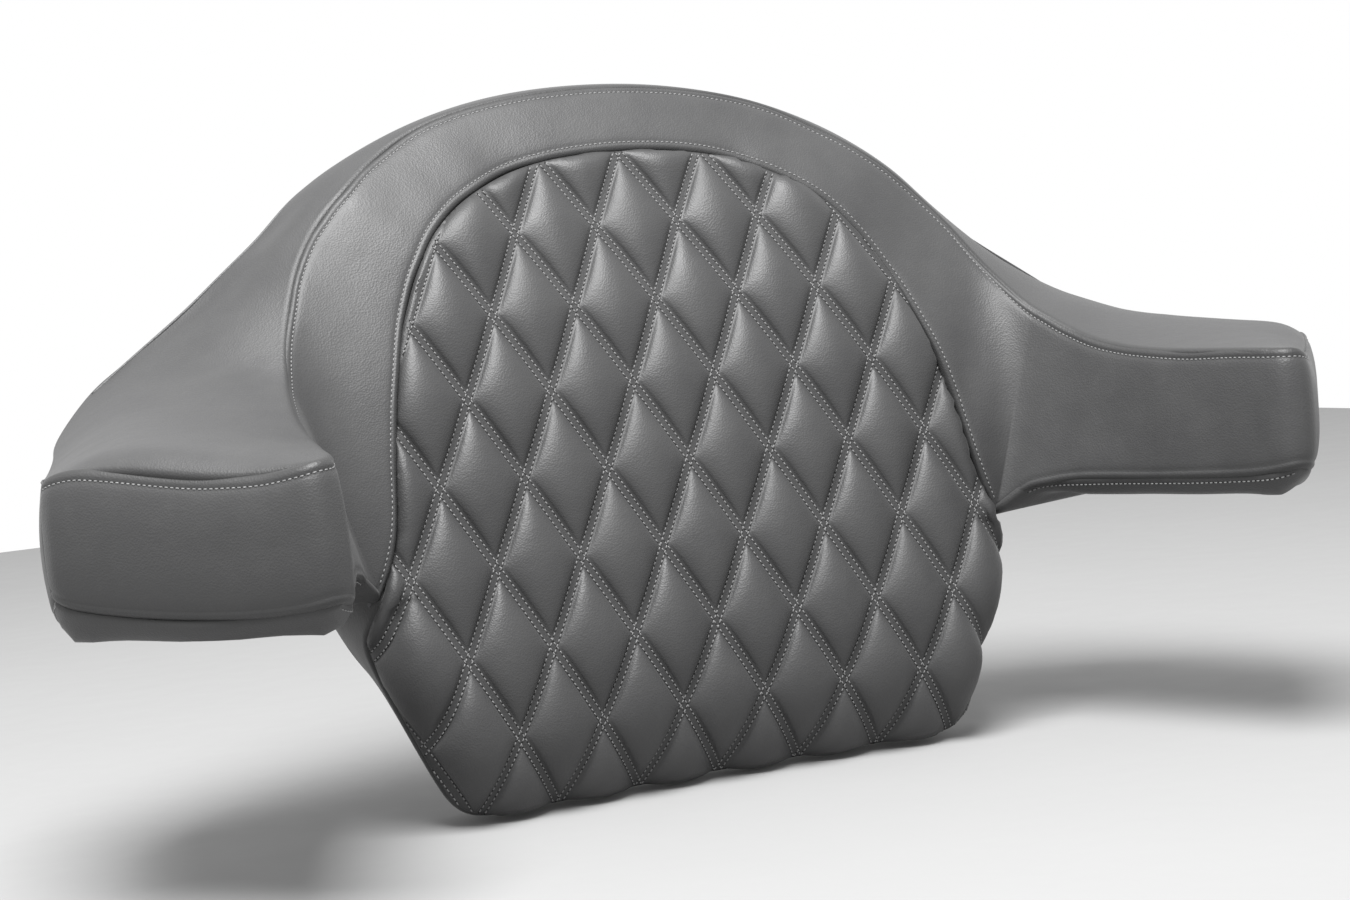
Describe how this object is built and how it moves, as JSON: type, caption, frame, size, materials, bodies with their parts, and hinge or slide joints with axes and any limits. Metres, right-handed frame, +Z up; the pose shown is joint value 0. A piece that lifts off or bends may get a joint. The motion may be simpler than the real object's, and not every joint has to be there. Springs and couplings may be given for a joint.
{
  "type": "motorcycle passenger backrest pad",
  "caption": "Wrap-around passenger backrest for a motorcycle top trunk: diamond-quilted back pad with padded armrests, upholstered in dark vinyl over foam and boards.",
  "frame": {"origin": "centre of the four-bolt pattern on the rear mounting face", "axes": "+X to the passenger's left, +Y to the tail of the motorcycle, +Z up; the passenger leans back against the -Y side"},
  "size_m": [0.6482, 0.2726, 0.3406],
  "materials": {
    "vinyl": "satin, fine pebble grain",
    "foam": "open-cell foam",
    "wadding": "soft wadding",
    "board": "moulded ABS",
    "liner": "fine texture",
    "bracket_steel": "black powder coat",
    "plated_steel": "zinc plated",
    "black_steel": "black oxide",
    "staple_wire": "bright wire"
  },
  "bodies": {
    "root": {"rear_board": "board", "rear_liner": "liner", "arm_board_left": "board", "arm_board_right": "board", "bracket_left": "bracket_steel", "bracket_right": "bracket_steel", "bracket_screws": "plated_steel", "bracket_nuts": "plated_steel", "arm_screws": "plated_steel", "mount_tnuts": "plated_steel", "mount_spacers": "plated_steel", "liner_screws": "black_steel", "staples": "staple_wire", "foam_centre": "foam", "foam_arm_left": "foam", "foam_arm_right": "foam", "wadding": "wadding", "quilted_panel": "vinyl", "front_band": "vinyl", "top_panel": "vinyl", "flank_left": "vinyl", "flank_right": "vinyl", "underside_left": "vinyl", "underside_right": "vinyl", "lower_gusset": "vinyl"}
  },
  "joints": []
}
